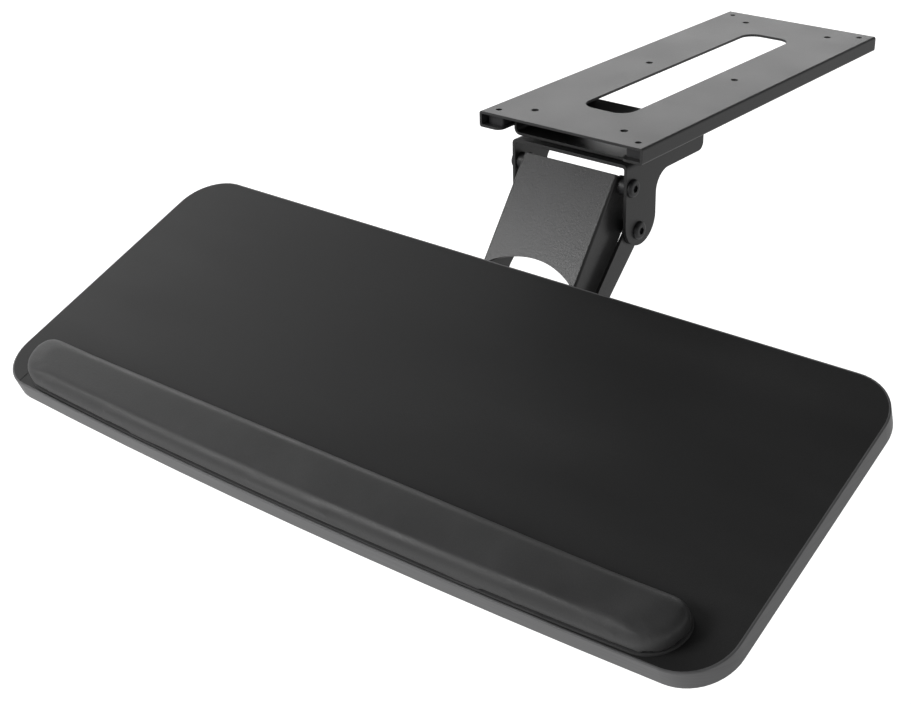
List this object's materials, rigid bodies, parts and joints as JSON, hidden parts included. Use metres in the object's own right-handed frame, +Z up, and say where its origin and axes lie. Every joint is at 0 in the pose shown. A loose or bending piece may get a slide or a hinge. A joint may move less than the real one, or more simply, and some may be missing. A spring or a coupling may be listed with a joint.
{
  "type": "under-desk keyboard tray",
  "caption": "Keyboard tray with a wrist pad on a swivelling, height and tilt adjustable arm that slides in an under-desk track.",
  "frame": {"origin": "centre of the track top face, which lies against the desk, and of its desk screw holes", "axes": "+X to the user right, +Y away from the user along the track, +Z up into the desk"},
  "size_m": [0.635, 0.6585, 0.1927],
  "materials": {
    "track_steel": "black powder coat, satin",
    "black_steel": "black powder coat, satin",
    "arm_steel": "black powder coat, satin",
    "plated_steel": "zinc plated",
    "black_screw": "black oxide",
    "black_nylon": "moulded",
    "fibreboard": "raw fibreboard",
    "tray_laminate": "fine matt laminate",
    "edge_band": "satin edging",
    "pad_base": "matt",
    "pad_skin": "soft smooth leatherette",
    "knob_plastic": "moulded",
    "brass": "turned"
  },
  "bodies": {
    "track": {"track_rail": "track_steel", "front_end_stops": "black_nylon", "back_end_stops": "black_nylon"},
    "carriage": {"carriage_pan": "black_steel", "carriage_glides": "black_nylon", "swivel_bolt": "plated_steel", "swivel_disc": "black_nylon", "swivel_washer": "plated_steel", "swivel_nut": "plated_steel"},
    "swivel": {"swivel_bracket": "arm_steel", "upper_pivot_rod": "black_screw", "upper_pivot_screws": "black_screw", "upper_pivot_spacers": "black_nylon", "lower_pivot_rod": "black_screw", "lower_pivot_screws": "black_screw", "lower_pivot_washers": "black_nylon"},
    "upper_arm": {"upper_link": "arm_steel"},
    "lower_arm": {"lower_link": "arm_steel"},
    "head": {"tilt_head": "arm_steel", "upper_head_rod": "plated_steel", "lower_head_rod": "plated_steel", "upper_rod_clips": "plated_steel", "lower_rod_clips": "plated_steel", "upper_head_washers": "black_nylon", "lower_head_spacers": "black_nylon", "friction_discs": "black_nylon", "tilt_axle": "plated_steel", "tilt_washer": "plated_steel", "tilt_spacer": "plated_steel"},
    "tray": {"tray_bracket": "black_steel", "tray_screws": "plated_steel", "tray_board": "fibreboard", "tray_laminate": "tray_laminate", "edge_band": "edge_band", "wrist_pad_base": "pad_base", "wrist_pad_cushion": "pad_skin"},
    "knob": {"tilt_knob": "knob_plastic", "knob_insert": "brass"}
  },
  "joints": [
    {"name": "track_slide", "type": "slide", "parent": "track", "child": "carriage", "axis": [0, 1, 0], "range_m": [0, 0.2264]},
    {"name": "swivel_turn", "type": "hinge", "parent": "carriage", "child": "swivel", "pos_m": [0, -0.12, -0.0207], "axis": [0, 0, 1], "continuous": true},
    {"name": "arm_lift", "type": "hinge", "parent": "swivel", "child": "upper_arm", "pos_m": [0, -0.1605, -0.04], "axis": [-1, 0, 0], "range_deg": [0, 30]},
    {"name": "lower_arm_lift", "type": "hinge", "parent": "swivel", "child": "lower_arm", "pos_m": [0, -0.151, -0.076], "axis": [-1, 0, 0], "range_deg": [0, 30]},
    {"name": "head_level", "type": "hinge", "parent": "upper_arm", "child": "head", "pos_m": [0, -0.22898, -0.12609], "axis": [-1, 0, 0], "range_deg": [-30, 0]},
    {"name": "tray_tilt", "type": "hinge", "parent": "head", "child": "tray", "pos_m": [0, -0.24941, -0.12798], "axis": [-1, 0, 0], "range_deg": [0, 21]},
    {"name": "knob_turn", "type": "hinge", "parent": "head", "child": "knob", "pos_m": [0.0656, -0.24941, -0.12798], "axis": [1, 0, 0], "range_deg": [0, 270]}
  ],
  "couplings": [
    {"joint": "lower_arm_lift", "follows": "arm_lift", "ratio": 1},
    {"joint": "head_level", "follows": "arm_lift", "ratio": -1}
  ]
}
